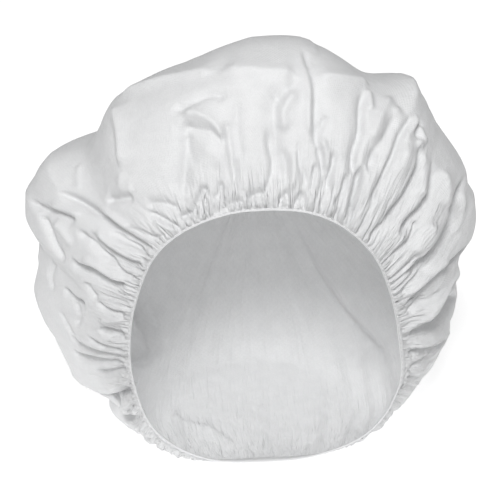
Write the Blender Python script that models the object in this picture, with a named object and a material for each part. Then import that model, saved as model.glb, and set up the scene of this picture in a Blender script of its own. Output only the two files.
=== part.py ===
"""Bouffant cap: a gathered round sheet of nonwoven with an elastic hem.

The cap lies by itself on its nape side, which is pressed flat there.
The opening stands upright and faces -Y, the puffed bag lies behind it
towards +Y, and +Z is up. The origin is at the middle of the underside of
the whole cap's box. Tables are in millimetres and degrees, meshes in metres.

The skin is one surface, read by an angle round the opening (0 at +X,
90 at the top) and by a share t of the way from the hem (0) to the middle
of the crown (1).
"""
import bpy
import bmesh
import numpy as np
from math import radians

MM = 0.001

# ---------------------------------------------------------------- sizes (mm)
OPENING_MID_Z = 97.0            # height of the middle of the opening
CROWN_MID = (-8.0, 188.0, 130.0)  # middle of the crown: x, depth y, z
FLOOR_EASE = 5.0                # how gently the skin meets the floor
WALL = 1.3                      # sheet with its small gathers, as one wall
HEM_WIDTH = 5.0                 # turned-over hem, along the sheet
HEM_THICK = 2.0                 # sheet twice, with the elastic inside
HEM_GAP = 0.50                  # clear gap between hem and crown
PLACE = (10.649, -94.033)       # moves the box's middle to the origin (x, y)

GATHER_COUNT = 27               # soft pleats that start at the hem
GATHER_HEIGHT = 1.6             # their height either way near the hem
GATHER_REACH = 0.34             # the t where they have faded out

STEPS_ROUND = 4 * GATHER_COUNT  # columns of the crown round the opening
STEPS_ALONG = 20                # rows from the hem to the middle

# Knots of t at which the sections below are given.
KNOTS = (0.0, 0.30, 0.54, 0.79, 1.0)

# One row for each section round the opening. Radii are taken from the line
# that runs from the middle of the opening to the middle of the crown, and
# depths from the plane of the opening.
#  angle, rim_r, front_r, front_y, belly_r, belly_y, back_r, back_y
SECTIONS = [
    (0.0,    86.3, 118, 30, 138, 82,  92, 155),
    (22.5,   86.5, 128, 32, 148, 84,  96, 155),
    (45.0,   92.5, 148, 36, 159, 84,  98, 156),
    (67.5,   96.0, 160, 42, 156, 92,  94, 158),
    (90.0,   94.0, 160, 44, 152, 98,  90, 160),
    (112.5,  94.0, 152, 40, 151, 90,  92, 158),
    (135.0,  93.5, 140, 34, 151, 82,  96, 156),
    (157.5,  88.0, 134, 32, 161, 82, 102, 154),
    (180.0,  87.5, 122, 30, 149, 80, 100, 152),
    (202.5,  92.5, 118, 28, 149, 78, 100, 150),
    (225.0, 100.5, 124, 24, 145, 72, 104, 148),
    (247.5,  99.5, 115, 26, 130, 76, 108, 148),
    (270.0,  94.0, 104, 30, 122, 80, 110, 148),
    (292.5,  95.5, 110, 28, 126, 78, 106, 148),
    (315.0,  98.5, 119, 26, 138, 76, 100, 150),
    (337.5,  94.5, 117, 28, 135, 80,  94, 153),
]

# Billows and dips of the outline.
#  name, angle, t, half_angle, half_t, push outward
LOBES = [
    ("crest",         78, 0.55, 11, 0.20,   6),
    ("dip_right",     62, 0.55,  9, 0.25,  -9),
    ("corner_right",  50, 0.52,  9, 0.20,   7),
    ("wing_right",    21, 0.54, 12, 0.20,   2),
    ("nick_right",     2, 0.52,  6, 0.25,  -6),
    ("low_right",    -16, 0.50, 10, 0.20,   3),
    ("notch_left",   143, 0.52,  8, 0.30, -11),
    ("wing_left",    158, 0.54, 12, 0.20,   4),
    ("nick_left",    178, 0.52,  6, 0.20,  -4),
    ("hip_left",     193, 0.52, 10, 0.20,   4),
    ("lip_left",     234, 0.06, 18, 0.06,   8),
]

# Main folds, each along a curve through three points of the skin.
# A negative depth is a valley, a positive one a ridge.
#  name, angle_0, t_0, angle_1, t_1, angle_2, t_2, half_width, depth
FOLDS = [
    ("front_edge_left",  128, 0.50, 112, 0.44,  98, 0.35, 11,  3.0),
    ("front_edge_mid",    98, 0.34,  88, 0.31,  80, 0.31, 11,  3.0),
    ("front_edge_right",  80, 0.31,  70, 0.35,  59, 0.41, 11,  3.0),
    ("top_crease",        80, 0.45,  77, 0.18,  74, 0.05, 10, -3.0),
    ("top_hollow",        88, 0.22,  86, 0.12,  82, 0.04, 12, -4.0),
    ("top_billow",       112, 0.28, 106, 0.22, 101, 0.12, 14,  3.5),
    ("front_left_edge",  128, 0.46, 128, 0.34, 132, 0.24, 11,  3.0),
    ("right_valley_1",    66, 0.36,  64, 0.18,  60, 0.05, 10, -5.0),
    ("right_valley_2",    56, 0.36,  57, 0.18,  55, 0.05, 11, -4.0),
    ("right_ridge_2",     46, 0.34,  47, 0.22,  46, 0.07, 10,  3.0),
    ("right_valley_3",    43, 0.38,  38, 0.23,  42, 0.04, 10, -5.0),
    ("right_valley_4",    30, 0.46,  26, 0.28,  26, 0.05, 11, -5.0),
    ("right_ridge_4",     12, 0.36,   9, 0.23,   6, 0.06, 11,  3.5),
    ("right_valley_5",   358, 0.44,   2, 0.22,   1, 0.05, 10, -4.0),
    ("right_valley_6",   336, 0.40, 342, 0.20, 346, 0.05, 10, -3.5),
    ("left_valley_1",    160, 0.48, 154, 0.39, 152, 0.30, 10, -3.5),
    ("left_valley_2",    152, 0.42, 145, 0.24, 138, 0.05, 11, -5.5),
    ("left_valley_3",    154, 0.30, 151, 0.17, 145, 0.05, 10, -4.0),
    ("left_valley_4",    163, 0.30, 160, 0.17, 157, 0.05, 10, -5.0),
    ("left_valley_5",    177, 0.36, 175, 0.26, 174, 0.08, 10, -4.0),
    ("left_valley_6",    198, 0.39, 201, 0.27, 195, 0.06, 10, -4.0),
    ("left_valley_7",    212, 0.36, 206, 0.18, 201, 0.05, 10, -3.5),
    ("back_valley_1",     70, 0.66,  64, 0.80,  30, 0.93, 14, -5.0),
    ("back_valley_2",    150, 0.62, 156, 0.78, 170, 0.93, 14, -5.0),
    ("back_valley_3",    205, 0.60, 212, 0.76, 230, 0.92, 14, -4.5),
    ("back_valley_4",    330, 0.58, 322, 0.74, 300, 0.92, 14, -4.5),
    ("back_ridge_1",     112, 0.62, 116, 0.78, 128, 0.94, 15,  4.0),
    ("back_ridge_2",      12, 0.60,   8, 0.76, 352, 0.93, 15,  4.0),
]


def round_the_opening(column, angle):
    """A column of SECTIONS at any angle, smooth and without an end."""
    values = np.array([row[column] for row in SECTIONS], float)
    count = len(values)
    place = (np.asarray(angle, float) / 360.0 * count) % count
    i = np.floor(place).astype(int)
    f = place - i
    a, b, c, d = (values[(i + k) % count] for k in (-1, 0, 1, 2))
    return b + 0.5 * f * (c - a + f * (2 * a - 5 * b + 4 * c - d
                                       + f * (3 * (b - c) + d - a)))


def along_the_sheet(values, t, last_slope):
    """A smooth curve through one value at each of KNOTS, read at t."""
    slopes = []
    for k in range(1, len(KNOTS) - 1):
        before, after = KNOTS[k] - KNOTS[k - 1], KNOTS[k + 1] - KNOTS[k]
        rise_0 = (values[k] - values[k - 1]) / before
        rise_1 = (values[k + 1] - values[k]) / after
        slopes.append((rise_0 * after + rise_1 * before) / (before + after))
    first = 1.5 * (values[1] - values[0]) / (KNOTS[1] - KNOTS[0]) - 0.5 * slopes[0]
    slopes = [first] + slopes + [last_slope]
    out = np.zeros(np.broadcast(values[0], t).shape)
    for k in range(len(KNOTS) - 1):
        h = KNOTS[k + 1] - KNOTS[k]
        f = np.clip((t - KNOTS[k]) / h, 0.0, 1.0)
        inside = (t >= KNOTS[k]) & ((t < KNOTS[k + 1]) | (k == len(KNOTS) - 2))
        span = ((2 * f**3 - 3 * f**2 + 1) * values[k]
                + (f**3 - 2 * f**2 + f) * h * slopes[k]
                + (3 * f**2 - 2 * f**3) * values[k + 1]
                + (f**3 - f**2) * h * slopes[k + 1])
        out = np.where(inside, span, out)
    return out


def press_on_floor(z):
    """Heights below the floor become the floor, with an eased edge."""
    eased = (z + FLOOR_EASE) ** 2 / (4 * FLOOR_EASE)
    return np.where(z >= FLOOR_EASE, z, np.where(z <= -FLOOR_EASE, 0.0, eased))


def skin(angle, t):
    """The smooth puffed skin without its folds, in mm."""
    angle, t = np.broadcast_arrays(np.asarray(angle, float), np.asarray(t, float))
    rim_r, front_r, front_y, belly_r, belly_y, back_r, back_y = (
        round_the_opening(c, angle) for c in range(1, 8))
    none = np.zeros_like(rim_r)
    radius = along_the_sheet([rim_r, front_r, belly_r, back_r, none], t,
                             -back_r / (1.0 - KNOTS[3]))
    depth = along_the_sheet([none, front_y, belly_y, back_y, none + CROWN_MID[1]],
                            t, none)
    for _name, angle_0, t_0, half_angle, half_t, push in LOBES:
        turn = (angle - angle_0 + 180.0) % 360.0 - 180.0
        hill = np.exp(-(turn / half_angle) ** 2 - ((t - t_0) / half_t) ** 2)
        radius = radius + push * hill * np.clip(t / 0.12, 0, 1) * np.clip((1 - t) / 0.2, 0, 1)
    share = np.clip(depth / CROWN_MID[1], 0.0, 1.0)
    turn = np.radians(angle)
    x = CROWN_MID[0] * share + radius * np.cos(turn)
    z = OPENING_MID_Z + (CROWN_MID[2] - OPENING_MID_Z) * share + radius * np.sin(turn)
    return np.stack([x, depth, press_on_floor(z)], axis=-1)


def outward(angle, t):
    """Unit normals of the smooth skin, pointing out of the bag."""
    t = np.clip(t, 0.0, 0.985)
    round_it = skin(angle + 0.5, t) - skin(angle - 0.5, t)
    along_it = skin(angle, np.clip(t + 0.004, 0, 1)) - skin(angle, np.clip(t - 0.004, 0, 1))
    n = np.cross(along_it, round_it)
    return n / np.linalg.norm(n, axis=-1, keepdims=True)


def fold_line(row, points=13):
    """Points along one row of FOLDS, on the skin."""
    _name, a0, t0, a1, t1, a2, t2, _w, _d = row
    a1 = a0 + (a1 - a0 + 180.0) % 360.0 - 180.0
    a2 = a1 + (a2 - a1 + 180.0) % 360.0 - 180.0
    s = np.linspace(0.0, 1.0, points)
    q0, q1, q2 = (1 - s) * (1 - 2 * s), 4 * s * (1 - s), s * (2 * s - 1)
    return skin(a0 * q0 + a1 * q1 + a2 * q2, t0 * q0 + t1 * q1 + t2 * q2)


def fold_height(points):
    """How far the folds raise or sink each point of the skin."""
    height = np.zeros(points.shape[:-1])
    for row in FOLDS:
        half_width, depth = row[7], row[8]
        line = fold_line(row)
        nearest = np.full(height.shape, 1e9)
        where = np.zeros(height.shape)
        pieces = len(line) - 1
        for k in range(pieces):
            a, ab = line[k], line[k + 1] - line[k]
            f = np.clip(((points - a) @ ab) / (ab @ ab), 0.0, 1.0)
            gap = np.linalg.norm(points - (a + f[..., None] * ab), axis=-1)
            closer = gap < nearest
            nearest = np.where(closer, gap, nearest)
            where = np.where(closer, (k + f) / pieces, where)
        fade = np.clip(4.0 * where, 0, 1) * np.clip(4.0 * (1.0 - where), 0, 1)
        fade = fade * fade * (3 - 2 * fade)
        height += depth * np.exp(-(nearest / half_width) ** 2) * (0.25 + 0.75 * fade)
    return height


def gather_height(angle, t):
    """The even pleats that the elastic draws up, on top of the main folds."""
    rise = np.clip((t - 0.03) / 0.04, 0.0, 1.0)
    fade = np.clip(1.0 - t / GATHER_REACH, 0.0, 1.0)
    return GATHER_HEIGHT * rise * fade * np.cos(np.radians(angle * GATHER_COUNT))


def sheet_share(angle, length):
    """The t that lies this many mm along the sheet from the rim edge."""
    speed = np.linalg.norm(skin(angle, 0.02 + 0 * angle) - skin(angle, 0 * angle), axis=-1) / 0.02
    return length / speed


def plain_material(name, colour, roughness):
    material = bpy.data.materials.new(name)
    material.use_nodes = True
    shader = material.node_tree.nodes["Principled BSDF"]
    shader.inputs["Base Color"].default_value = (*colour, 1.0)
    shader.inputs["Roughness"].default_value = roughness
    shader.inputs["Metallic"].default_value = 0.0
    material.diffuse_color = (*colour, 1.0)
    return material


def add_object(name, build, material):
    mesh = bpy.data.meshes.new(name)
    work = bmesh.new()
    build(work)
    bmesh.ops.recalc_face_normals(work, faces=work.faces)
    work.to_mesh(mesh)
    work.free()
    mesh.shade_smooth()
    mesh.materials.append(material)
    piece = bpy.data.objects.new(name, mesh)
    bpy.context.scene.collection.objects.link(piece)
    return piece


def place(point):
    return ((point[0] + PLACE[0]) * MM, (point[1] + PLACE[1]) * MM, point[2] * MM)


def grid_normals(grid):
    """Outward normals of a grid that closes round its first index, without
    its last row, where the columns meet."""
    round_it = np.roll(grid, -1, axis=0) - np.roll(grid, 1, axis=0)
    along_it = np.gradient(grid, axis=1)
    n = np.cross(along_it, round_it)[:, :-1]
    return n / np.linalg.norm(n, axis=-1, keepdims=True)


def build_crown(work):
    """The gathered sheet as a hollow wall, open at the hem."""
    angle = np.arange(STEPS_ROUND) * 360.0 / STEPS_ROUND
    start = sheet_share(angle, HEM_WIDTH + HEM_GAP)
    rows = (np.arange(STEPS_ALONG) / STEPS_ALONG) ** 1.12
    angles = np.repeat(angle[:, None], STEPS_ALONG, axis=1)
    t = start[:, None] + (1.0 - start[:, None]) * rows[None, :]
    smooth = skin(angles, t)
    lift = fold_height(smooth) * np.clip((t - start[:, None]) / 0.05, 0.0, 1.0)
    lift += gather_height(angles, t)
    outer = smooth + outward(angles, t) * lift[..., None]
    outer[..., 2] = np.maximum(outer[..., 2], 0.0)
    pole = skin(0.0, 1.0)
    full = np.concatenate([outer, np.repeat(pole[None, None, :], STEPS_ROUND, axis=0)], axis=1)
    normal = grid_normals(full)
    normal[:, 0] = outward(angle, start)
    inner = outer - WALL * normal
    pole_in = pole - np.array([0.0, WALL, 0.0])

    def ring_of(grid, j):
        return [work.verts.new(place(grid[i, j])) for i in range(STEPS_ROUND)]

    out_rings = [ring_of(outer, j) for j in range(STEPS_ALONG)]
    in_rings = [ring_of(inner, j) for j in range(STEPS_ALONG)]
    top, top_in = work.verts.new(place(pole)), work.verts.new(place(pole_in))
    for i in range(STEPS_ROUND):
        k = (i + 1) % STEPS_ROUND
        for rings in (out_rings, in_rings):
            for j in range(STEPS_ALONG - 1):
                work.faces.new((rings[j][i], rings[j][k], rings[j + 1][k], rings[j + 1][i]))
        work.faces.new((out_rings[-1][i], out_rings[-1][k], top))
        work.faces.new((in_rings[-1][i], in_rings[-1][k], top_in))
        work.faces.new((out_rings[0][i], out_rings[0][k], in_rings[0][k], in_rings[0][i]))


def build_hem(work):
    """The turned-over hem with the elastic inside, a flat soft band."""
    section = [(0.0, 0.6), (0.7, 0.0), (HEM_WIDTH, 0.0),
               (HEM_WIDTH, HEM_THICK), (0.7, HEM_THICK), (0.0, HEM_THICK - 0.6)]
    angle = np.arange(STEPS_ROUND) * 360.0 / STEPS_ROUND
    rings = []
    for along, inward in section:
        t = sheet_share(angle, along)
        points = skin(angle, t) - inward * outward(angle, t)
        points[..., 2] = np.maximum(points[..., 2], 0.0)
        rings.append([work.verts.new(place(p)) for p in points])
    for a, b in zip(rings, rings[1:] + rings[:1]):
        for i in range(STEPS_ROUND):
            k = (i + 1) % STEPS_ROUND
            work.faces.new((a[i], a[k], b[k], b[i]))


def main():
    for item in list(bpy.data.objects):
        bpy.data.objects.remove(item, do_unlink=True)
    nonwoven = plain_material("nonwoven", (0.86, 0.87, 0.87), 0.72)
    hem_white = plain_material("hem_nonwoven", (0.90, 0.91, 0.91), 0.66)
    add_object("crown", build_crown, nonwoven)
    add_object("hem_band", build_hem, hem_white)


main()
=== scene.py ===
"""Bouffant cap: the fine cloth, its hem and stitches, the material, light and camera.

The cap is one round sheet of nonwoven gathered into an elastic hem. Tables are in
millimetres and degrees; the skin is read by an angle round the opening (0 at +X,
90 at the top) and by a share t of the way from the hem to the middle of the crown.
"""
import math
import bpy
import numpy as np
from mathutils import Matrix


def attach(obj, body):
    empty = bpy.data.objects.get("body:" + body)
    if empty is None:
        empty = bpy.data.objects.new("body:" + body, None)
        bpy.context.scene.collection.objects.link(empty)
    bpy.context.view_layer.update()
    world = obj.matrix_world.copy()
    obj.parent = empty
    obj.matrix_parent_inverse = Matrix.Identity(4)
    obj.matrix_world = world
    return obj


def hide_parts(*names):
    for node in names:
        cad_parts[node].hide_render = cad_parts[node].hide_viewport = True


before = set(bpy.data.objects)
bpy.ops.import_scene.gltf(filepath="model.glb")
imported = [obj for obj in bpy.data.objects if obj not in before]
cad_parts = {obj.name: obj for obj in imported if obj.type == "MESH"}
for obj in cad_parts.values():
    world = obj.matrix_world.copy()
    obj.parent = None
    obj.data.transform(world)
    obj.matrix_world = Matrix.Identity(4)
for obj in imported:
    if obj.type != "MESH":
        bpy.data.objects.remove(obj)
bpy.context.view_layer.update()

MM = 0.001

# ------------------------------------------------------------------ sizes (mm)
OPENING_MID_Z = 97.0
CROWN_MID = (-8.0, 188.0, 130.0)
FLOOR_EASE = 5.0
PLACE = (10.649, -94.033)
FLAT_DISC = 610.0               # the round cut sheet, across
OFF_FLOOR = 0.25                # the sheet's mid surface above what it lies on
HEM_WIDTH = 5.0
STITCHES = 180
KNOTS = (0.0, 0.30, 0.54, 0.79, 1.0)

#  angle, rim_r, front_r, front_y, belly_r, belly_y, back_r, back_y
SECTIONS = [
    (0.0,    86.3, 118, 30, 138, 82,  92, 155),
    (22.5,   86.5, 128, 32, 148, 84,  96, 155),
    (45.0,   92.5, 148, 36, 159, 84,  98, 156),
    (67.5,   96.0, 160, 42, 156, 92,  94, 158),
    (90.0,   94.0, 160, 44, 152, 98,  90, 160),
    (112.5,  94.0, 152, 40, 151, 90,  92, 158),
    (135.0,  93.5, 140, 34, 151, 82,  96, 156),
    (157.5,  88.0, 134, 32, 161, 82, 102, 154),
    (180.0,  87.5, 122, 30, 149, 80, 100, 152),
    (202.5,  92.5, 118, 28, 149, 78, 100, 150),
    (225.0, 100.5, 124, 24, 145, 72, 104, 148),
    (247.5,  99.5, 115, 26, 130, 76, 108, 148),
    (270.0,  94.0, 104, 30, 122, 80, 110, 148),
    (292.5,  95.5, 110, 28, 126, 78, 106, 148),
    (315.0,  98.5, 119, 26, 138, 76, 100, 150),
    (337.5,  94.5, 117, 28, 135, 80,  94, 153),
]

# Billows and dips of the outline.
#  name, angle, t, half_angle, half_t, push outward
LOBES = [
    ("crest",         78, 0.55, 11, 0.20,   6),
    ("dip_right",     62, 0.55,  9, 0.25,  -9),
    ("corner_right",  50, 0.52,  9, 0.20,   7),
    ("wing_right",    21, 0.54, 12, 0.20,   2),
    ("nick_right",     2, 0.52,  6, 0.25,  -6),
    ("low_right",    -16, 0.50, 10, 0.20,   3),
    ("notch_left",   143, 0.52,  8, 0.30, -11),
    ("wing_left",    158, 0.54, 12, 0.20,   4),
    ("nick_left",    178, 0.52,  6, 0.20,  -4),
    ("hip_left",     193, 0.52, 10, 0.20,   4),
    ("lip_left",     234, 0.06, 18, 0.06,   6),
    ("nick_low",     320, 0.10,  9, 0.12,  -5),
    ("notch_low",    331, 0.10,  5, 0.12,  -6),
]

# The straight runs and corners of the outline, read off with straight lines between.
#  angle, push outward
OUTLINE = [
    (2, -2.6), (9, -4.6), (12, 1.4), (20, 0.3), (28, -0.2), (33, -2.4), (38, -5.0),
    (43, -7.6), (47, -7.0), (50.5, -3.0), (54, 4.6), (57.5, 2.0), (61, 1.2), (67, -1.6),
    (72, -4.0), (77, -4.8), (80, -2.0), (86, -0.4), (92, 1.2), (98, -0.6), (105, -2.6),
    (110, -2.9), (116, -1.2), (123, 1.0), (129, 2.4), (135, -0.8), (143, -1.0),
    (151, 1.2), (157, -2.2), (160.5, -0.4), (166, 0.6), (171, -5.2), (177, 2.4),
    (186, 3.8), (192, 0.2), (199, -2.2), (206, 0.2), (210.5, 2.0), (212.2, 0.5),
    (213.8, -7.0), (215.5, -4.8), (217.5, -8.0), (220.5, -11.0), (223.5, -2.0), (229, 1.0), (240, 0.0), (300, 0.0), (311, -5.0),
    (318, -9.0), (324, -7.0), (333, -1.0), (341, -2.5), (346, -7.0), (352, -3.4),
]

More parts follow.
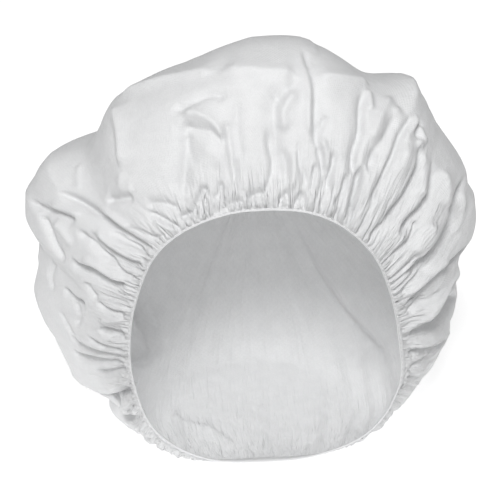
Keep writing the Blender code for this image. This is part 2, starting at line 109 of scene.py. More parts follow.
# Folds, each along a curve through a few points of the skin. A negative depth is a
# valley, a positive one a ridge, and lean makes one side of it the steeper.
#  name, half_width, depth, lean, [(angle, t), ...]
FOLDS = [
    ("left_A", 3.3, -3.6, -0.6, [(160, 0.49), (158, 0.43), (156, 0.39), (154, 0.35), (152, 0.31)]),
    ("left_A_up", 3.6, 1.4, 0, [(156, 0.41), (153, 0.36), (150, 0.31)]),
    ("left_B", 3.3, -4.0, -0.7, [(152, 0.42), (148, 0.35), (144, 0.22), (141, 0.1), (137, 0.01)]),
    ("left_B_up", 2.8, 1.8, 0, [(145, 0.33), (141, 0.18), (138, 0.09), (135, 0.02)]),
    ("left_B2", 3.4, -2.4, -0.3, [(140, 0.15), (138, 0.1), (134, 0.04), (128, 0.02)]),
    ("left_B3", 3.0, -2.4, -0.3, [(146, 0.2), (144, 0.12), (142, 0.06), (141, 0.01)]),
    ("left_C", 3.4, -2.6, -0.5, [(154, 0.3), (153, 0.24), (153, 0.18), (152, 0.1)]),
    ("left_C2", 3.4, -3.0, -0.5, [(151, 0.26), (151, 0.2), (150, 0.13), (148, 0.07), (145, 0.02)]),
    ("left_C_up", 3.6, 1.7, 0, [(149, 0.24), (149, 0.18), (147, 0.1), (144, 0.03)]),
    ("left_C3", 2.8, -1.9, -0.3, [(154, 0.19), (153, 0.12), (153, 0.07), (151, 0.03)]),
    ("left_D", 3.3, -5.3, -0.8, [(162, 0.29), (163, 0.26), (160, 0.18), (159, 0.11), (156, 0.05)]),
    ("left_D_up", 4.0, 1.9, 0, [(160, 0.25), (158, 0.19), (157, 0.12), (156, 0.06)]),
    ("left_E", 4.2, -3.6, 0.3, [(160, 0.43), (161, 0.39), (164, 0.36), (166, 0.32)]),
    ("left_E_r", 5.0, 1.7, 0, [(158, 0.38), (158, 0.34), (159, 0.29)]),
    ("left_F", 3.2, -1.8, 0.2, [(170, 0.4), (176, 0.42), (180, 0.41)]),
    ("left_H", 3.2, -3.6, -0.8, [(176, 0.36), (176, 0.34), (176, 0.29), (174, 0.24)]),
    ("left_H2", 4.2, -2.2, 0, [(166, 0.22), (168, 0.21), (170, 0.17)]),
    ("left_H3", 3.0, -1.7, 0.2, [(178, 0.32), (181, 0.29), (186, 0.32)]),
    ("left_H4", 3.0, -1.6, 0.2, [(184, 0.38), (188, 0.36), (192, 0.35)]),
    ("left_G3", 2.8, -2.2, -0.3, [(170, 0.18), (171, 0.13), (170, 0.07), (168, 0.03)]),
    ("left_G_up", 3.4, 1.7, 0, [(178, 0.17), (174, 0.09), (171, 0.03)]),
    ("left_G", 3.8, -3.8, 0.5, [(182, 0.19), (181, 0.13), (180, 0.07), (178, 0.02)]),
    ("left_Gb", 2.8, -2.3, -0.3, [(187, 0.27), (188, 0.19), (187, 0.1), (186, 0.02)]),
    ("left_J", 2.9, -2.9, -0.5, [(192, 0.37), (193, 0.32), (192, 0.21), (189, 0.02)]),
    ("left_J_up", 3.0, 1.4, 0, [(191, 0.34), (190, 0.28), (189, 0.17)]),
    ("left_K", 3.0, -3.8, -0.7, [(198, 0.39), (199, 0.36), (196, 0.24), (191, 0.02)]),
    ("left_K2", 3.0, -3.4, -0.2, [(204, 0.35), (201, 0.25), (197, 0.12), (193, 0.01)]),
    ("left_L", 4.6, -6.8, -0.5, [(215, 0.43), (213.5, 0.33), (208.5, 0.2), (202.5, 0.04)]),
    ("left_L2", 3.4, -3.0, 0, [(216, 0.24), (214, 0.16), (211, 0.06)]),
    ("left_M", 3.6, -6.0, -0.5, [(222, 0.36), (220, 0.3), (218, 0.2), (215, 0.03)]),
    ("left_M_up", 3.6, 1.8, 0, [(215, 0.29), (214, 0.18), (212, 0.05)]),
    ("left_N", 3.0, -2.6, -0.3, [(223, 0.24), (226, 0.2), (225.5, 0.06)]),
    ("ul_edge", 4.8, 2.2, 1, [(128, 0.488), (128, 0.365), (131, 0.262)]),
    ("ul_low", 6.0, 1.1, 0.4, [(131, 0.262), (134, 0.23), (131, 0.178)]),
    ("ul_crease", 4.2, -2.0, 0.3, [(141, 0.278), (137, 0.22), (132, 0.168)]),
    ("ul_v", 7.2, -2.6, 0.3, [(110, 0.248), (112, 0.17), (118, 0.068)]),
    ("ul_small", 2.6, 0.8, 0.3, [(144, 0.47), (146, 0.42), (147, 0.38)]),
    ("ul_flat", 4.0, -0.7, 0, [(142, 0.29), (137, 0.22), (132, 0.16)]),
    ("ul_dim", 4.2, -1.8, 0, [(130, 0.12), (126, 0.1), (120, 0.05)]),
    ("ul_g1", 3.0, -2.3, -0.3, [(131, 0.11), (128, 0.07), (124, 0.01)]),
    ("ul_g2", 3.0, 1.3, 0, [(131, 0.08), (128, 0.04), (125, 0.01)]),
    ("ul_hook", 3.4, -3.4, 0.2, [(124, 0.04), (118, 0.03), (115, 0.04), (112, 0.06), (108, 0.07)]),
    ("ul_hook2", 2.6, -2.2, 0.2, [(114, 0.01), (113, 0.04), (110, 0.05)]),
    ("tp_edge_l", 8.4, 2.3, 0.5, [(128, 0.52), (112.5, 0.43), (100, 0.352)]),
    ("tp_edge_m", 8.4, 2.0, 0.4, [(100, 0.352), (90.5, 0.31), (82.5, 0.305)]),
    ("tp_edge_r", 7.2, 2.3, 0.5, [(79, 0.305), (71, 0.345), (64.5, 0.402)]),
    ("tp_main", 3.8, -2.6, 0.8, [(81, 0.42), (79.5, 0.33), (78, 0.24), (77, 0.16), (75, 0.13)]),
    ("tp_main2", 3.0, -2.4, 0.5, [(76, 0.14), (74, 0.11), (72, 0.07), (72, 0.03)]),
    ("tp_roll", 4.0, 1.5, 0, [(79.5, 0.4), (79, 0.29), (79, 0.21), (78, 0.15)]),
    ("tp_nip", 2.8, -1.6, 0.3, [(74.5, 0.21), (75.5, 0.18), (76.5, 0.15)]),
    ("tp_q1", 2.8, -2.2, 0.5, [(75, 0.1), (75, 0.08), (75, 0.05), (75, 0.04)]),
    ("tp_q2", 3.0, -2.2, 0.5, [(71, 0.14), (70, 0.1), (70, 0.07), (68, 0.04)]),
    ("tp_q3", 2.8, -1.6, 0.3, [(66, 0.1), (65, 0.07), (66, 0.03)]),
    ("tp_q4", 2.6, -1.4, 0.3, [(81, 0.14), (80, 0.09), (78, 0.07), (76.5, 0.05)]),
    ("tp_q5", 2.8, 1.5, 0, [(75.5, 0.16), (73, 0.13), (71, 0.09)]),
    ("tp_hollow", 9.0, -2.6, 0, [(87, 0.28), (87.5, 0.21), (87, 0.14), (86, 0.09), (85, 0.04)]),
    ("tp_hollow2", 3.2, -2.2, 0.7, [(89.5, 0.17), (89, 0.12), (88, 0.09), (89, 0.05), (91, 0.04)]),
    ("tp_hollow3", 3.4, -1.2, -0.3, [(85, 0.12), (83.5, 0.09), (83, 0.05)]),
    ("tp_s", 6.0, 2.2, 0, [(82, 0.26), (84.5, 0.22), (85.5, 0.19), (84.5, 0.15)]),
    ("tp_s_top", 6.0, -1.6, 0, [(81.5, 0.29), (84.5, 0.25), (87.5, 0.22)]),
    ("tp_s2", 6.0, 1.6, 0, [(82, 0.12), (81, 0.08), (81.5, 0.04)]),
    ("tp_band", 5.0, -1.1, 0, [(96, 0.24), (97, 0.19), (97, 0.14), (97, 0.1)]),
    ("tp_lobe1", 5.5, 2.4, 0.2, [(111, 0.27), (106.5, 0.24), (103, 0.2), (101, 0.15)]),
    ("tp_lobe_t", 5.0, -1.7, 0, [(113, 0.29), (108.5, 0.28), (103, 0.28), (98, 0.25)]),
    ("tp_lobe_b", 3.8, -1.6, 0, [(111, 0.24), (107, 0.2), (103.5, 0.18), (101.5, 0.14)]),
    ("tp_lobe_e", 3.4, -2.0, 0.6, [(100, 0.2), (100, 0.16), (100, 0.11), (100.5, 0.05)]),
    ("tp_lobe2", 11.0, 1.1, 0, [(108, 0.17), (104.5, 0.13), (103, 0.09)]),
    ("tp_lobe_l", 6.0, -0.9, 0, [(111, 0.21), (111, 0.17), (111, 0.12)]),
    ("tp_k1", 2.6, -2.2, 0.3, [(112, 0.01), (107, 0.01), (102, 0.02), (97.5, 0.02)]),
    ("tp_k2", 3.6, -2.8, 0.3, [(96.5, 0.02), (94, 0.03), (89, 0.03)]),
    ("tp_k3", 3.0, -2.4, 0.3, [(82, 0.04), (84.5, 0.02), (87, 0.01)]),
    ("tp_k4", 3.2, -2.8, 0.3, [(78, 0.04), (78.5, 0.02), (79.5, 0.01)]),
    ("tp_k5", 2.6, -1.8, 0.2, [(104, 0.07), (106, 0.05), (108, 0.04)]),
    ("rt_r1", 3.0, 1.6, 0, [(65, 0.368), (64.5, 0.318), (64, 0.283)]),
    ("rt_r2a", 5.0, 2.3, 0.2, [(59, 0.398), (61.5, 0.28), (62, 0.195)]),
    ("rt_r2b", 5.6, 2.3, 0.2, [(57, 0.368), (59, 0.27), (60, 0.162)]),
    ("rt_r3", 4.0, 2.2, 0, [(52, 0.372), (53, 0.318), (54, 0.265)]),
    ("rt_v3", 3.2, -2.6, 0.4, [(51.5, 0.372), (51, 0.345), (51, 0.312)]),
    ("rt_r3b", 3.2, 1.9, 0, [(51, 0.365), (49, 0.345), (47, 0.352)]),
    ("rt_knot", 3.2, 1.7, 0, [(50, 0.308), (49, 0.318), (48, 0.332)]),
    ("rt_r4", 10.0, 2.7, 0.2, [(51, 0.295), (52, 0.225), (49.5, 0.168)]),
    ("rt_r5", 6.2, 1.7, 0.2, [(46.5, 0.328), (44, 0.262), (41, 0.218)]),
    ("rt_r6", 7.5, 2.3, 0.2, [(39, 0.365), (35, 0.348), (33, 0.3)]),
    ("rt_r6b", 7.5, 2.7, 0.2, [(34.5, 0.218), (31, 0.198), (30, 0.12)]),
    ("rt_r7", 6.2, 1.9, 0.2, [(29.5, 0.42), (24, 0.405), (22.5, 0.338)]),
    ("rt_r7b", 5.5, 1.9, 0.2, [(18, 0.3), (19, 0.185), (19, 0.048)]),
    ("rt_r8", 8.8, 4.4, 0.3, [(8, 0.44), (9, 0.322), (8, 0.232), (4, 0.058)]),
    ("rt_r9", 6.9, 3.0, 0.2, [(347, 0.42), (350, 0.332), (353, 0.21), (355, 0.052)]),
    ("rt_v1", 3.2, -4.0, -0.6, [(66, 0.36), (66, 0.27), (65, 0.2), (65, 0.15), (63, 0.1)]),
    ("rt_v1b", 3.2, -4.9, -0.5, [(62, 0.14), (61, 0.1), (60, 0.06), (58, 0.03)]),
    ("rt_v2", 5.0, -4.0, 0.3, [(58, 0.34), (59, 0.24), (60, 0.18), (59, 0.13)]),
    ("rt_v2b", 3.4, -4.0, 0.5, [(53, 0.38), (55, 0.28), (55, 0.2), (55, 0.13), (55, 0.07)]),
    ("rt_v4", 3.4, -4.6, 0.6, [(49, 0.32), (47, 0.27), (46, 0.21), (46, 0.14), (48, 0.07)]),
    ("rt_v4b", 3.0, -2.2, 0.3, [(46, 0.13), (46, 0.09), (48, 0.05), (48, 0.02)]),
    ("rt_v5", 4.6, -6.0, 0.6, [(43, 0.35), (40, 0.29), (39, 0.22), (40, 0.15), (40, 0.09)]),
    ("rt_v5b", 3.2, -3.0, 0.4, [(38, 0.18), (36, 0.15), (36, 0.1), (37, 0.03)]),
    ("rt_v6", 4.8, -6.5, 0.7, [(29, 0.48), (30, 0.36), (27, 0.32), (26, 0.21), (26, 0.07)]),
    ("rt_v6b", 3.0, -2.2, 0.3, [(22, 0.21), (22, 0.14), (22, 0.08), (20, 0.04)]),
    ("rt_v7", 4.0, -5.4, 0.6, [(12, 0.46), (15, 0.33), (17, 0.24), (17, 0.15), (14, 0.04)]),
    ("rt_v7b", 2.8, -1.9, 0.3, [(13, 0.16), (12, 0.11), (11, 0.05)]),
    ("rt_v8", 4.8, -8.5, 0.7, [(351.5, 0.5), (356.5, 0.41), (358, 0.33), (362, 0.18), (362, 0.05)]),
    ("rt_v9", 3.6, -6.2, 0.5, [(341, 0.46), (344, 0.37), (348, 0.26), (352, 0.14), (353, 0.04)]),
    ("rt_v10", 3.0, -2.0, 0.4, [(341, 0.35), (346, 0.21), (346, 0.1), (343, 0.05)]),
    ("rt_v11", 3.4, -2.4, 0.4, [(337, 0.36), (337, 0.23), (343, 0.06)]),
    ("rt_v12", 3.0, -2.0, 0.3, [(328, 0.37), (335, 0.17), (338, 0.05)]),
    ("in_fold", 11.0, 9.0, 1.4, [(312, 0.93), (304, 0.88), (302.5, 0.83), (305, 0.77), (309, 0.71), (313, 0.66), (317, 0.61)]),
    ("in_fold2", 7.0, -1.3, 0.3, [(291, 0.92), (296, 0.8), (304, 0.56)]),
    ("in_flap", 7.0, 8.0, 0.7, [(217, 0.75), (224, 0.75), (231, 0.74), (235, 0.715), (231, 0.68), (226, 0.655)]),
    ("in_flap2", 4.0, -1.6, 0, [(236, 0.74), (231, 0.765), (224, 0.77)]),
    ("in_crease", 3.0, -0.8, 0.4, [(235, 0.85), (245, 0.857), (255, 0.855)]),
    ("in_low", 9.0, -1.6, 0.6, [(240, 0.5), (252, 0.4), (262, 0.24)]),
    ("co_top", 5.0, 0.6, 0, [(78, 0.4), (78, 0.5), (78, 0.6)]),
    ("co_right", 5.0, 0.7, 0, [(54, 0.4), (54, 0.5), (54, 0.6)]),
    ("co_wing", 5.0, 0.8, 0, [(20.5, 0.4), (20.5, 0.5), (20.5, 0.6)]),
    ("co_left", 5.0, 0.5, 0, [(160.5, 0.4), (160.5, 0.5), (160.5, 0.6)]),
    ("co_left2", 5.0, 0.5, 0, [(151, 0.4), (151, 0.5), (151, 0.6)]),
    ("co_hip", 5.0, 0.5, 0, [(211, 0.4), (211, 0.5), (211, 0.6)]),
]

# How far the small gathers reach from the hem, and how high they are, round the opening.
# Drift is how far they lean round the opening on the way to the crown, in degrees.
#  angle, reach, height, drift
GATHERS = [
    (0.0,   1.3, 0.9, -14), (22.5,  1.5, 1.0,   2), (45.0,  1.5, 1.0,  15), (67.5,  0.9, 1.0,  18),
    (90.0,  0.6, 1.2,   8), (112.5, 0.6, 1.0, -40), (135.0, 0.6, 0.5,  45), (157.5, 0.6, 0.5,  28),
    (180.0, 0.7, 0.6,  25), (202.5, 0.8, 0.8,  28), (225.0, 1.0, 1.2,  25), (247.5, 1.2, 1.4,   0),
    (270.0, 1.2, 1.4,   0), (292.5, 1.2, 1.4,   0), (315.0, 1.0, 0.8, -25), (337.5, 1.1, 0.75, -28),
]

# The cloth's rows: the t where each zone ends, its columns and its rows.
ZONES = [(0.15, 640, 34), (0.50, 640, 74), (0.66, 320, 18), (0.94, 320, 34), (1.0, 160, 8)]
FINE_COLUMNS = 640
FOLD_SCALE = 2.2


# ------------------------------------------------------------- the smooth skin
def round_the_opening(values, angle):
    values = np.asarray(values, float)
    count = len(values)
    place = (np.asarray(angle, float) / 360.0 * count) % count
    i = np.floor(place).astype(int)
    f = place - i
    a, b, c, d = (values[(i + k) % count] for k in (-1, 0, 1, 2))
    return b + 0.5 * f * (c - a + f * (2 * a - 5 * b + 4 * c - d
                                       + f * (3 * (b - c) + d - a)))


def along_the_sheet(values, t, last_slope):
    slopes = []
    for k in range(1, len(KNOTS) - 1):
        before, after = KNOTS[k] - KNOTS[k - 1], KNOTS[k + 1] - KNOTS[k]
        rise_0 = (values[k] - values[k - 1]) / before
        rise_1 = (values[k + 1] - values[k]) / after
        slopes.append((rise_0 * after + rise_1 * before) / (before + after))
    first = 1.5 * (values[1] - values[0]) / (KNOTS[1] - KNOTS[0]) - 0.5 * slopes[0]
    slopes = [first] + slopes + [last_slope]
    out = np.zeros(np.broadcast(values[0], t).shape)
    for k in range(len(KNOTS) - 1):
        h = KNOTS[k + 1] - KNOTS[k]
        f = np.clip((t - KNOTS[k]) / h, 0.0, 1.0)
        inside = (t >= KNOTS[k]) & ((t < KNOTS[k + 1]) | (k == len(KNOTS) - 2))
        span = ((2 * f**3 - 3 * f**2 + 1) * values[k]
                + (f**3 - 2 * f**2 + f) * h * slopes[k]
                + (3 * f**2 - 2 * f**3) * values[k + 1]
                + (f**3 - f**2) * h * slopes[k + 1])
        out = np.where(inside, span, out)
    return out


def press_on_floor(z):
    eased = (z + FLOOR_EASE) ** 2 / (4 * FLOOR_EASE)
    return np.where(z >= FLOOR_EASE, z, np.where(z <= -FLOOR_EASE, 0.0, eased))


COLUMNS = np.array(SECTIONS, float).T


def skin(angle, t):
    angle, t = np.broadcast_arrays(np.asarray(angle, float), np.asarray(t, float))
    rim_r, front_r, front_y, belly_r, belly_y, back_r, back_y = (
        round_the_opening(COLUMNS[c], angle) for c in range(1, 8))
    none = np.zeros_like(rim_r)
    radius = along_the_sheet([rim_r, front_r, belly_r, back_r, none], t,
                             -back_r / (1.0 - KNOTS[3]))
    depth = along_the_sheet([none, front_y, belly_y, back_y, none + CROWN_MID[1]],
                            t, none)
    for _name, angle_0, t_0, half_angle, half_t, push in LOBES:
        turn = (angle - angle_0 + 180.0) % 360.0 - 180.0
        hill = np.exp(-(turn / half_angle) ** 2 - ((t - t_0) / half_t) ** 2)
        radius = radius + push * hill * np.clip(t / 0.12, 0, 1) * np.clip((1 - t) / 0.2, 0, 1)
    corners, pushes = np.array(OUTLINE).T
    hill = np.exp(-((t - 0.52) / 0.24) ** 2) * np.clip(t / 0.15, 0, 1) * np.clip((1 - t) / 0.2, 0, 1)
    radius = radius + hill * np.interp(angle, corners, pushes, period=360.0)
    share = np.clip(depth / CROWN_MID[1], 0.0, 1.0)
    turn = np.radians(angle)
    x = CROWN_MID[0] * share + radius * np.cos(turn)
    z = OPENING_MID_Z + (CROWN_MID[2] - OPENING_MID_Z) * share + radius * np.sin(turn)
    return np.stack([x, depth, press_on_floor(z)], axis=-1)


def unit(v):
    return v / np.maximum(np.linalg.norm(v, axis=-1, keepdims=True), 1e-12)


def outward(angle, t):
    t = np.clip(t, 0.0, 0.985)
    round_it = skin(angle + 0.5, t) - skin(angle - 0.5, t)
    along_it = skin(angle, np.clip(t + 0.004, 0, 1)) - skin(angle, np.clip(t - 0.004, 0, 1))
    return unit(np.cross(along_it, round_it))


def sheet_share(angle, length):
    speed = np.linalg.norm(skin(angle, 0.02 + 0 * angle) - skin(angle, 0 * angle), axis=-1) / 0.02
    return length / speed


# ------------------------------------------------------------ folds and gathers
def fold_line(places):
    """A smooth curve on the skin through the places of a fold."""
    places = np.array(places, float)
    places[:, 0] = np.degrees(np.unwrap(np.radians(places[:, 0])))
    places = np.concatenate([[2 * places[0] - places[1]], places, [2 * places[-1] - places[-2]]])
    f = np.linspace(0.0, 1.0, 7)[:-1, None]
    spans = []
    for k in range(1, len(places) - 2):
        a, b, c, d = places[k - 1:k + 3]
        spans.append(b + 0.5 * f * (c - a + f * (2 * a - 5 * b + 4 * c - d + f * (3 * (b - c) + d - a))))
    line = np.concatenate(spans + [places[-2:-1]])
    return skin(line[:, 0], np.clip(line[:, 1], 0.0, 0.98))


def fold_height(points, normals):
    height = np.zeros(len(points))
    for _name, half_width, depth, lean, places in FOLDS:
        line = fold_line(places)
        reach = 3.2 * half_width * (1.0 + 1.2 * abs(lean))
        low, high = line.min(axis=0) - reach, line.max(axis=0) + reach
        near = np.nonzero(np.all((points > low) & (points < high), axis=1))[0]
        if not len(near):
            continue
        p, n = points[near], normals[near]
        nearest = np.full(len(near), 1e9)
        where = np.zeros(len(near))
        side = np.zeros(len(near))
        pieces = len(line) - 1
        for k in range(pieces):
            ab = line[k + 1] - line[k]
            f = np.clip(((p - line[k]) @ ab) / (ab @ ab), 0.0, 1.0)
            off = p - (line[k] + f[:, None] * ab)
            gap = np.linalg.norm(off, axis=1)
            closer = gap < nearest
            nearest = np.where(closer, gap, nearest)
            where = np.where(closer, (k + f) / pieces, where)
            across = np.einsum("ij,ij->i", off, np.cross(n, ab)) / np.linalg.norm(ab)
            side = np.where(closer, across, side)
        begin, end = (5.0, 6.0) if half_width < 10 else (2.6, 2.2)   # a broad one fades longer
        fade = np.clip(begin * where, 0, 1) * np.clip(end * (1.0 - where), 0, 1)
        fade = fade * fade * (3 - 2 * fade)
        wide = np.where(side * lean > 0, 1.0 + 1.2 * abs(lean), 1.0 - 0.45 * min(abs(lean), 1.0))
        u = nearest / (half_width * wide * (0.5 + 0.5 * fade))
        shape = np.exp(-1.3 * (np.sqrt(u * u + 0.03) - 0.17)) - 0.3 * np.exp(-(u / 2.0) ** 2)
        height[near] += FOLD_SCALE * depth * shape * fade
    return height


def ripple(angle, s, seed, waves, low, high, drift):
    """Smooth seeded unevenness round the opening and along the sheet, about -1 to 1."""
    dice = np.random.default_rng(seed)
    out = np.zeros(np.broadcast(angle, s).shape)
    a = np.radians(angle)
    for _ in range(waves):
        out += np.cos(dice.integers(low, high + 1) * a + dice.normal(0, drift) * s
                      + dice.uniform(0, 2 * np.pi))
    return out / math.sqrt(waves / 2.0) * 0.6


def pleat(phase, crisp):
    """Rounded tops and narrow valleys, from -1 to 1."""
    return 2.0 * np.abs(np.sin(phase / 2.0)) ** crisp - 1.0


def hem_angle(angle, t):
    """Where on the hem the gather through this point starts."""
    drift = np.array(GATHERS).T[3]
    t = np.minimum(t, 0.4)
    out = angle
    for _ in range(4):
        out = 0.5 * out + 0.5 * (angle - round_the_opening(drift, out) * t)
    return out


def gather_height(angle, s):
    table = np.array(GATHERS).T
    reach = round_the_opening(table[1], angle)
    tall = round_the_opening(table[2], angle)
    r = s / reach
    a = np.radians(angle)
    small = pleat(106 * a + 2.6 * ripple(angle, s, 1, 9, 3, 21, 0.03), 0.8)
    middle = pleat(57 * a + 2.8 * ripple(angle, s, 2, 9, 2, 13, 0.02), 0.85)
    broad = pleat(25 * a + 2.4 * ripple(angle, s, 3, 8, 1, 7, 0.012), 1.0)
    out = 0.75 * small * np.exp(-(r / 13.0) ** 2) * (0.7 + 0.5 * ripple(angle, s, 4, 8, 2, 16, 0.05))
    out += (1.7 * middle * np.clip(r / 6.0, 0.25, 1) * np.exp(-(r / 30.0) ** 2)
            * (0.65 + 0.6 * ripple(angle, s, 5, 8, 2, 12, 0.04)))
    out += (2.2 * broad * np.clip(r / 16.0, 0.08, 1) * np.exp(-(r / 62.0) ** 2)
            * (0.6 + 0.6 * ripple(angle, s, 6, 8, 1, 8, 0.02)))
    out *= tall * (1.0 - 0.93 * np.exp(-((angle - 272.0) / 68.0) ** 4) * np.exp(-(s / 20.0) ** 2))
    out *= 1.0 - 0.8 * np.exp(-((angle - 342.0) / 17.0) ** 4) * np.exp(-(s / 14.0) ** 2)
    # the far side, where the cloth behind the head hangs in loose puckers
    behind = np.clip((s - 190.0) / 20.0, 0, 1) * np.clip((285.0 - s) / 40.0, 0, 1)
    behind = behind * (0.5 + 0.5 * np.tanh((np.sin(a) + 0.25) * 5.0))
    behind = behind * (1.0 - 0.6 * np.exp(-((angle - 115.0) / 35.0) ** 2))
    out += 5.0 * behind * pleat(21 * a + 2.2 * ripple(angle, s, 7, 8, 1, 6, 0.012), 1.0)
    return out


# --------------------------------------------------------------- the fine cloth
def cloth_rows():
    rows, last = [], 0.0
    for end, columns, count in ZONES:
        for k in range(count):
            f = k / count
            if last == 0.0:
                f = f ** 1.25
            rows.append((last + (end - last) * f, columns))
        last = end
    return rows


def column_angles(count):
    """The angle of each column: closer together where the cap shows than beneath it."""
    angle = np.linspace(0.0, 360.0, 3601)
    step = 1.0 + 0.7 * np.exp(-((angle - 270.0) / 36.0) ** 2)
    place = np.concatenate([[0.0], np.cumsum(2.0 / (step[1:] + step[:-1]))])
    return np.interp(np.arange(count) * place[-1] / count, place, angle)


def build_cloth(rows):
    """Faces of the sheet, row by row; a row may have half the columns of the one before."""
    starts = np.cumsum([0] + [n for _s, n in rows])
    faces = []
    for j in range(len(rows) - 1):
        n, m = rows[j][1], rows[j + 1][1]
        a, b = int(starts[j]), int(starts[j + 1])
        if n == m:
            for i in range(n):
                k = (i + 1) % n
                faces.append((a + i, b + i, b + k, a + k))
        else:
            for i in range(m):
                k = (i + 1) % m
                f0, f1, f2 = a + 2 * i, a + 2 * i + 1, a + (2 * i + 2) % n
                faces += [(f0, b + i, f1), (f1, b + i, b + k), (f1, b + k, f2)]
    n = rows[-1][1]
    for i in range(n):
        faces.append((int(starts[-2]) + i, int(starts[-1]), int(starts[-2]) + (i + 1) % n))
    return faces


def relax(x, target, rest_round, rest_along, rest_across, bend_reach, pull, rounds):
    """Let slack cloth find its wrinkles: edges keep their length, bends cost a little,
    and the whole is drawn softly to its target. Rows by columns; the columns close."""
    rows, cols = x.shape[:2]
    free = np.ones((rows, 1, 1))
    free[0] = 0.0
    free[-1] = 0.0

    def pair(a, b, rest, wa, wb, stiff):
        d = b - a
        length = np.sqrt(np.einsum("ijk,ijk->ij", d, d))[..., None]
        move = stiff * (1.0 - rest[..., None] / np.maximum(length, 1e-9)) * d / np.maximum(wa + wb, 1e-9)
        return move * wa, move * wb

    for step in range(rounds):
        for odd in (0, 1):
            i = np.arange(odd, cols, 2)
            k = (i + 1) % cols
            up, down = pair(x[:, i], x[:, k], rest_round[:, i], free, free, 0.9)
            x[:, i] += up
            x[:, k] -= down
        for odd in (0, 1):
            j = np.arange(odd, rows - 1, 2)
            up, down = pair(x[j], x[j + 1], rest_along[j], free[j], free[j + 1], 0.9)
            x[j] += up
            x[j + 1] -= down
        for odd in (0, 1):
            j = np.arange(odd, rows - 1, 2)
            for turn, diagonal in zip((1, -1), rest_across):
                other = np.roll(x[j + 1], -turn, axis=1)
                up, down = pair(x[j], other, diagonal[j], free[j], free[j + 1], 0.3)
                x[j] += up
                x[j + 1] -= np.roll(down, turn, axis=1)
        for reach, share in bend_reach:
            lap = np.roll(x, reach, 1) + np.roll(x, -reach, 1) - 2 * x
            lap = np.roll(lap, reach, 1) + np.roll(lap, -reach, 1) - 2 * lap
            x -= share[:, None, None] / 16.0 * lap * free
        lap = np.zeros_like(x)
        lap[1:-1] = x[2:] + x[:-2] - 2 * x[1:-1]
        bend = np.zeros_like(x)
        bend[2:-2] = lap[3:-1] + lap[1:-3] - 2 * lap[2:-2]
        x -= 0.25 / 16.0 * bend * free
        x += pull * (target - x) * free
        x[..., 2] = np.maximum(x[..., 2], OFF_FLOOR)
    return x


def to_world(points):
    out = np.array(points, float)
    out[..., 0] += PLACE[0]
    out[..., 1] += PLACE[1]
    return out * MM


def new_mesh(name, points, faces, **layers):
    mesh = bpy.data.meshes.new(name)
    mesh.from_pydata([tuple(p) for p in points], [], faces)
    index = np.zeros(len(mesh.loops), np.int32)
    mesh.loops.foreach_get("vertex_index", index)
    for layer_name, uv in layers.items():
        layer = mesh.uv_layers.new(name=layer_name)
        layer.data.foreach_set("uv", np.ascontiguousarray(uv[index], np.float32).ravel())
    mesh.update()
    mesh.shade_smooth()
    piece = bpy.data.objects.new(name, mesh)
    bpy.context.scene.collection.objects.link(piece)
    return piece


def hem_shown(angle):
    """How much of the hem the crown's sheet leaves bare, in mm."""
    right = (angle - 342.0 + 180.0) % 360.0 - 180.0
    left = (angle - 236.0 + 180.0) % 360.0 - 180.0
    return 1.75 + 2.3 * np.exp(-(right / 20.0) ** 2) + 1.2 * np.exp(-(left / 16.0) ** 2)


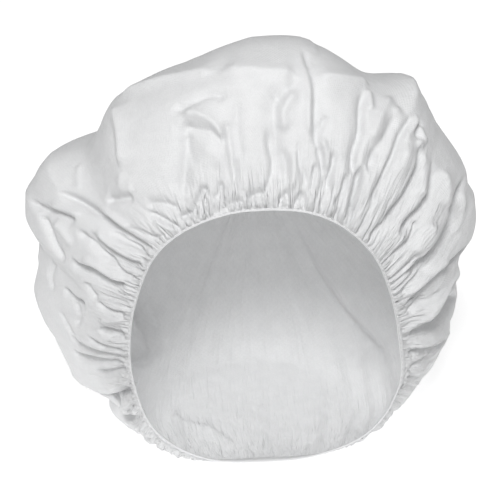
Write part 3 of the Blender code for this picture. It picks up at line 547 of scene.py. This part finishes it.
def make_crown():
    rows = cloth_rows()
    fine = sum(count for _end, columns, count in ZONES if columns == FINE_COLUMNS) + 1
    column = column_angles(FINE_COLUMNS)
    share, angle = np.meshgrid([s for s, _n in rows], column, indexing="ij")
    wavy = pleat(106 * np.radians(angle) + 2.6 * ripple(angle, 0 * angle, 1, 9, 3, 21, 0.03), 0.8)
    start = sheet_share(angle, hem_shown(angle) + 0.45 * wavy)
    t = start + (1.0 - start) * share
    base = skin(angle, t)
    normal = outward(angle, t)
    speed = np.linalg.norm(skin(column, 0.15 + 0 * column) - skin(column, 0 * column), axis=-1) / 0.15
    s = (t - start) * speed
    lift = fold_height(base.reshape(-1, 3), normal.reshape(-1, 3)).reshape(t.shape)
    lift = lift * np.clip(s / 6.0, 0.25, 1.0)
    origin = hem_angle(angle, t)
    lift += gather_height(origin, s) * np.clip(s, 0.6, 1.0)
    lift -= 0.55 * np.clip(1.0 - s / 1.5, 0.0, 1.0)
    middle = np.clip((1.0 - t) / 0.16, 0.0, 1.0)     # no pinch where the columns meet
    lift = lift * middle * middle * (3.0 - 2.0 * middle)
    points = base + normal * lift[..., None]
    points[..., 2] = np.maximum(points[..., 2], OFF_FLOOR)

    # the fine rows find their wrinkles
    near, away = points[:fine], s[:fine]
    slack = 1.0 + 0.42 * np.exp(-away / 14.0) + 0.03 * np.exp(-away / 60.0)
    rest_round = np.linalg.norm(np.roll(near, -1, 1) - near, axis=-1) * slack
    rest_along = np.linalg.norm(near[1:] - near[:-1], axis=-1) * 1.002
    rest_across = [np.linalg.norm(np.roll(near[1:], -turn, 1) - near[:-1], axis=-1)
                   * (0.5 + 0.5 * slack[1:]) for turn in (1, -1)]
    middle = away.mean(axis=1)
    last = 0.05 * np.clip((middle - middle[-1] + 12) / 12, 0, 1)
    near = relax(near.copy(), near.copy(), rest_round, rest_along, rest_across,
                 [(1, 0.14 + 0 * middle)], (0.06 + last)[:, None, None], 70)
    points[:fine] = near

    kept, flat, ring, fade = [], [], [], []
    for j, (s_row, n) in enumerate(rows):
        every = slice(None, None, FINE_COLUMNS // n)
        a, o = np.radians(column[every]), np.radians(origin[j][every])
        kept.append(points[j][every])
        flat.append(np.stack([np.cos(a), np.sin(a)], 1) * FLAT_DISC / 2 * (1.0 - s_row))
        ring.append(np.stack([np.cos(o), np.sin(o)], 1) * 94.0)
        reached = round_the_opening(np.array(GATHERS).T[1], np.degrees(o))
        fade.append(np.stack([s[j][every] / reached, 0 * a], 1))
    kept.append(np.array([skin(0.0, 1.0)]))
    flat.append(np.zeros((1, 2)))
    ring.append(np.zeros((1, 2)))
    fade.append(np.array([[300.0, 0.0]]))
    return new_mesh("cap_crown", to_world(np.concatenate(kept)), build_cloth(rows),
                    cloth=np.concatenate(flat) * MM, gather=np.concatenate(ring) * MM,
                    reach=np.concatenate(fade) * MM)


# ------------------------------------------------------------------ hem, stitches
HEM_SECTION = [  # along the sheet, inward
    (0.00, 0.85), (0.04, 0.52), (0.16, 0.20), (0.36, 0.04), (0.56, 0.02), (0.76, 0.16),
    (0.90, 0.38), (1.10, 0.50), (1.30, 0.52), (1.50, 0.54), (1.80, 0.46), (2.20, 0.52),
    (2.70, 0.62), (3.30, 0.80), (4.20, 0.92), (4.70, 0.96), (5.00, 1.02), (5.00, 1.22),
    (4.40, 1.36), (3.40, 1.46), (2.40, 1.52), (1.40, 1.60), (0.75, 1.55), (0.25, 1.30),
]
SEAM = 1.45


def hem_point(angle, along, inward_by):
    t = np.maximum(sheet_share(angle, along), 0.0)
    p = skin(angle, t) - outward(angle, t) * np.asarray(inward_by)[..., None]
    p[..., 2] = np.maximum(p[..., 2], 0.0)
    return p


def make_hem():
    n = 720
    angle = np.arange(n) * 360.0 / n
    stitch = np.cos(np.radians(angle) * STITCHES)
    rings = []
    for along, inward_by in HEM_SECTION:
        near_seam = math.exp(-((along - SEAM) / 0.5) ** 2) if inward_by < 0.6 else 0.0
        pinch = near_seam * (0.12 + 0.12 * stitch)
        soft = 0.13 * ripple(angle, 0 * angle, 21, 10, 20, 110, 0) * min(1.0, along / 1.5)
        edge = 0.10 * ripple(angle, 0 * angle, 22, 8, 8, 60, 0)
        rings.append(hem_point(angle, along + edge, inward_by + pinch + soft))
    count = len(rings)
    points = np.stack(rings, 1).reshape(-1, 3)
    faces = []
    for i in range(n):
        k = (i + 1) % n
        for j in range(count):
            m = (j + 1) % count
            faces.append((i * count + j, i * count + m, k * count + m, k * count + j))
    girth = np.cumsum([0.0] + [math.hypot(HEM_SECTION[j + 1][0] - HEM_SECTION[j][0],
                                          HEM_SECTION[j + 1][1] - HEM_SECTION[j][1])
                               for j in range(count - 1)])
    u = np.repeat(angle / 360.0 * 590.0, count) * MM
    v = np.tile(girth, n) * MM
    return new_mesh("cap_hem", to_world(points), faces, cloth=np.stack([u, v], 1))


def make_stitches():
    """One short thread for each stitch, laid along the seam of the hem."""
    sides, steps, half = 6, 7, 0.33
    points, faces = [], []
    for k in range(STITCHES):
        middle = (k + 0.5) * 360.0 / STITCHES
        a = middle + np.linspace(-half, half, steps) * 360.0 / STITCHES
        f = np.linspace(-1, 1, steps)
        sunk = 0.46 + 0.30 * np.abs(f) ** 3
        centre = hem_point(a, SEAM + 0 * a, sunk)
        up = outward(a, sheet_share(a, SEAM))
        run = unit(np.gradient(centre, axis=0))
        cross = unit(np.cross(run, up))
        first = len(points)
        for j in range(steps):
            r = 0.17 * math.sqrt(max(0.12, 1 - abs(f[j]) ** 4))
            for q in range(sides):
                w = 2 * math.pi * q / sides
                points.append(centre[j] + r * (math.cos(w) * cross[j] + math.sin(w) * up[j]))
        for j in range(steps - 1):
            for q in range(sides):
                m = (q + 1) % sides
                b = first + j * sides
                faces.append((b + q, b + m, b + sides + m, b + sides + q))
        faces.append(tuple(first + q for q in reversed(range(sides))))
        faces.append(tuple(first + (steps - 1) * sides + q for q in range(sides)))
    points = np.array(points)
    points[:, 2] = np.maximum(points[:, 2], 0.0)
    return new_mesh("cap_stitches", to_world(points), faces)


# ----------------------------------------------------------------------- materials
def node(tree, kind, **values):
    n = tree.nodes.new(kind)
    for key, value in values.items():
        if key in n.inputs:
            n.inputs[key].default_value = value
        else:
            setattr(n, key, value)
    return n


def mixed(tree, kind, factor, a, b):
    n = tree.nodes.new("ShaderNodeMix")
    n.data_type = kind
    sockets = {"RGBA": (6, 7, 2), "FLOAT": (2, 3, 0)}[kind]
    tree.links.new(factor, n.inputs[0])
    n.inputs[sockets[0]].default_value = a
    n.inputs[sockets[1]].default_value = b
    return n.outputs[sockets[2]]


def nonwoven(name, light, dark, pitch=0.0019, emboss=0.00010, seed=0.0, gathers=False):
    """Spunbond nonwoven: cloudy formation, fine fibres and rows of pressed points."""
    material = bpy.data.materials.new(name)
    material.use_nodes = True
    tree = material.node_tree
    link = tree.links.new
    shader = tree.nodes["Principled BSDF"]
    where = node(tree, "ShaderNodeTexCoord")
    uv = node(tree, "ShaderNodeUVMap", uv_map="cloth")

    cloud = node(tree, "ShaderNodeTexNoise", Scale=95.0, Detail=4.0, Roughness=0.6)
    link(where.outputs["Object"], cloud.inputs["Vector"])
    fibre_space = node(tree, "ShaderNodeMapping")
    fibre_space.inputs["Scale"].default_value = (1.0, 1.0, 0.35)
    fibre_space.inputs["Location"].default_value = (seed, 0.0, 0.0)
    link(where.outputs["Object"], fibre_space.inputs["Vector"])
    fibre = node(tree, "ShaderNodeTexNoise", Scale=1500.0, Detail=3.0, Roughness=0.65)
    link(fibre_space.outputs["Vector"], fibre.inputs["Vector"])

    turned = node(tree, "ShaderNodeMapping")
    turned.inputs["Rotation"].default_value = (0.0, 0.0, math.radians(45.0))
    turned.inputs["Scale"].default_value = (1.0 / pitch, 1.0 / pitch, 1.0)
    link(uv.outputs["UV"], turned.inputs["Vector"])
    dots = node(tree, "ShaderNodeTexVoronoi", Scale=1.0, Randomness=0.12)
    link(turned.outputs["Vector"], dots.inputs["Vector"])
    press = node(tree, "ShaderNodeMapRange")
    press.inputs["From Min"].default_value = 0.10
    press.inputs["From Max"].default_value = 0.52
    link(dots.outputs["Distance"], press.inputs["Value"])

    tone = mixed(tree, "RGBA", cloud.outputs["Fac"], (*dark, 1.0), (*light, 1.0))
    speck = node(tree, "ShaderNodeMapRange")
    speck.inputs["From Min"].default_value = 0.3
    speck.inputs["From Max"].default_value = 0.7
    speck.inputs["To Min"].default_value = 0.955
    speck.inputs["To Max"].default_value = 1.02
    link(fibre.outputs["Fac"], speck.inputs["Value"])
    point_tone = node(tree, "ShaderNodeMapRange")
    point_tone.inputs["To Min"].default_value = 0.98
    point_tone.inputs["To Max"].default_value = 1.0
    link(press.outputs["Result"], point_tone.inputs["Value"])
    both = node(tree, "ShaderNodeMath", operation="MULTIPLY")
    link(speck.outputs["Result"], both.inputs[0])
    link(point_tone.outputs["Result"], both.inputs[1])
    shade = node(tree, "ShaderNodeVectorMath", operation="SCALE")
    link(tone, shade.inputs[0])
    link(both.outputs[0], shade.inputs["Scale"])
    link(shade.outputs["Vector"], shader.inputs["Base Color"])

    rough = node(tree, "ShaderNodeMapRange")
    rough.inputs["To Min"].default_value = 0.46
    rough.inputs["To Max"].default_value = 0.60
    link(cloud.outputs["Fac"], rough.inputs["Value"])
    link(rough.outputs["Result"], shader.inputs["Roughness"])

    bump_fibre = node(tree, "ShaderNodeBump", Strength=0.6, Distance=0.00012)
    link(fibre.outputs["Fac"], bump_fibre.inputs["Height"])
    bump_press = node(tree, "ShaderNodeBump", Strength=0.9, Distance=emboss)
    link(press.outputs["Result"], bump_press.inputs["Height"])
    link(bump_fibre.outputs["Normal"], bump_press.inputs["Normal"])
    crumple = node(tree, "ShaderNodeTexNoise", Scale=260.0, Detail=3.0, Roughness=0.55)
    link(where.outputs["Object"], crumple.inputs["Vector"])
    bump_crumple = node(tree, "ShaderNodeBump", Strength=0.6, Distance=0.0006)
    link(crumple.outputs["Fac"], bump_crumple.inputs["Height"])
    link(bump_press.outputs["Normal"], bump_crumple.inputs["Normal"])
    last = bump_crumple.outputs["Normal"]
    if gathers:
        # hair-fine gathers that run away from the hem and fade
        ring = node(tree, "ShaderNodeUVMap", uv_map="gather")
        apart = node(tree, "ShaderNodeSeparateXYZ")
        link(ring.outputs["UV"], apart.inputs[0])
        away = node(tree, "ShaderNodeUVMap", uv_map="reach")
        far = node(tree, "ShaderNodeSeparateXYZ")
        link(away.outputs["UV"], far.inputs[0])
        from_middle = node(tree, "ShaderNodeVectorMath", operation="LENGTH")
        link(uv.outputs["UV"], from_middle.inputs[0])
        for scale, stretch, reach, high in ((480.0, 0.07, 0.085, 0.0024), (900.0, 0.06, 0.055, 0.0014)):
            run = node(tree, "ShaderNodeMath", operation="MULTIPLY")
            link(from_middle.outputs["Value"], run.inputs[0])
            run.inputs[1].default_value = stretch
            streak = node(tree, "ShaderNodeCombineXYZ")
            link(apart.outputs["X"], streak.inputs["X"])
            link(apart.outputs["Y"], streak.inputs["Y"])
            link(run.outputs[0], streak.inputs["Z"])
            noise = node(tree, "ShaderNodeTexNoise", Scale=scale, Detail=2.0, Roughness=0.5, Distortion=0.15)
            link(streak.outputs["Vector"], noise.inputs["Vector"])
            fade = node(tree, "ShaderNodeMapRange", interpolation_type="SMOOTHSTEP")
            fade.inputs["From Min"].default_value = reach
            fade.inputs["From Max"].default_value = 0.0
            link(far.outputs["X"], fade.inputs["Value"])
            height = node(tree, "ShaderNodeMath", operation="MULTIPLY")
            link(noise.outputs["Fac"], height.inputs[0])
            link(fade.outputs["Result"], height.inputs[1])
            bump = node(tree, "ShaderNodeBump", Strength=0.9, Distance=high)
            link(height.outputs[0], bump.inputs["Height"])
            link(last, bump.inputs["Normal"])
            last = bump.outputs["Normal"]
    link(last, shader.inputs["Normal"])

    if gathers:
        # the single sheet is thin enough to let light through
        glow = node(tree, "ShaderNodeBsdfTranslucent")
        link(shade.outputs["Vector"], glow.inputs["Color"])
        through = node(tree, "ShaderNodeMixShader")
        through.inputs[0].default_value = 0.20
        link(shader.outputs[0], through.inputs[1])
        link(glow.outputs[0], through.inputs[2])
        link(through.outputs[0], tree.nodes["Material Output"].inputs["Surface"])
    shader.inputs["Specular IOR Level"].default_value = 0.45
    shader.inputs["Sheen Weight"].default_value = 0.12
    shader.inputs["Sheen Roughness"].default_value = 0.4
    material.diffuse_color = (*light, 1.0)
    return material


def thread_material():
    material = bpy.data.materials.new("cap_thread")
    material.use_nodes = True
    tree = material.node_tree
    shader = tree.nodes["Principled BSDF"]
    where = node(tree, "ShaderNodeTexCoord")
    twist = node(tree, "ShaderNodeTexNoise", Scale=2600.0, Detail=2.0)
    tree.links.new(where.outputs["Object"], twist.inputs["Vector"])
    tone = mixed(tree, "RGBA", twist.outputs["Fac"], (0.74, 0.745, 0.75, 1), (0.88, 0.88, 0.88, 1))
    tree.links.new(tone, shader.inputs["Base Color"])
    bump = node(tree, "ShaderNodeBump", Strength=0.5, Distance=0.00005)
    tree.links.new(twist.outputs["Fac"], bump.inputs["Height"])
    tree.links.new(bump.outputs["Normal"], shader.inputs["Normal"])
    shader.inputs["Roughness"].default_value = 0.5
    return material


# ----------------------------------------------------------------------- the studio
def area_light(name, place, target, size, power, tint=(1, 1, 1)):
    data = bpy.data.lights.new(name, "AREA")
    data.shape = "DISK"
    data.size = size
    data.energy = power
    data.color = tint
    lamp = bpy.data.objects.new(name, data)
    lamp.location = place
    bpy.context.scene.collection.objects.link(lamp)
    aim(lamp, target)
    return lamp


def aim(item, target):
    from mathutils import Vector
    way = Vector(target) - item.location
    item.rotation_euler = way.to_track_quat("-Z", "Y").to_euler()


def make_studio():
    # a white board under and behind the cap, on a plain grey table
    for name, size, place, tone, glow in (
            ("studio_table", (14.0, 14.0), (0.0, 2.0, -0.003), 0.32, 0.0),
            ("studio_floor", (1.5, 1.6), (0.0, 0.62, 0.0), 0.93, 0.52)):
        bpy.ops.mesh.primitive_plane_add(size=1.0, location=place)
        floor = bpy.context.object
        floor.name = name
        floor.scale = (*size, 1.0)
        material = bpy.data.materials.new(name)
        material.use_nodes = True
        shader = material.node_tree.nodes["Principled BSDF"]
        shader.inputs["Base Color"].default_value = (tone, tone, tone, 1)
        shader.inputs["Emission Color"].default_value = (1.0, 1.0, 1.0, 1)
        shader.inputs["Emission Strength"].default_value = glow
        shader.inputs["Roughness"].default_value = 0.8
        shader.inputs["Specular IOR Level"].default_value = 0.2
        floor.data.materials.append(material)

    world = bpy.data.worlds.new("studio")
    world.use_nodes = True
    world.node_tree.nodes["Background"].inputs["Color"].default_value = (1.0, 1.0, 1.0, 1)
    world.node_tree.nodes["Background"].inputs["Strength"].default_value = 0.34
    bpy.context.scene.world = world
    area_light("key", (-0.14, -1.40, 1.68), (0, 0, 0.12), 0.7, 30.5)
    area_light("fill", (-0.10, -1.85, 0.66), (0, 0, 0.10), 1.4, 6.5)

    e = math.radians(28.0)
    target = ((-10.0 + PLACE[0]) * MM, (60.0 + PLACE[1]) * MM, 131.5 * MM)
    data = bpy.data.cameras.new("camera")
    data.lens = 36.0 * 2262.0 / 500.0
    data.sensor_width = 36.0
    camera = bpy.data.objects.new("camera", data)
    camera.location = (target[0], target[1] - 1.5 * math.cos(e), target[2] + 1.5 * math.sin(e))
    bpy.context.scene.collection.objects.link(camera)
    aim(camera, target)
    data.clip_start = 0.05
    bpy.context.scene.camera = camera
    bpy.context.scene.view_settings.view_transform = "Standard"


def main():
    make_studio()
    crown, hem, stitches = make_crown(), make_hem(), make_stitches()
    crown.data.materials.append(nonwoven("cap_nonwoven", (0.84, 0.843, 0.847), (0.72, 0.724, 0.73),
                                         gathers=True))
    # the hem is the same white nonwoven as the crown, its colour set darker: painted shade on the hem band
    hem.data.materials.append(nonwoven("cap_hem_nonwoven_painted_shade", (0.69, 0.693, 0.697), (0.62, 0.624, 0.63),
                                       pitch=0.0012, emboss=0.00006, seed=3.1))
    stitches.data.materials.append(thread_material())
    for piece in (crown, hem, stitches):
        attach(piece, "root")
    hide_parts("crown")
    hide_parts("hem_band")


main()
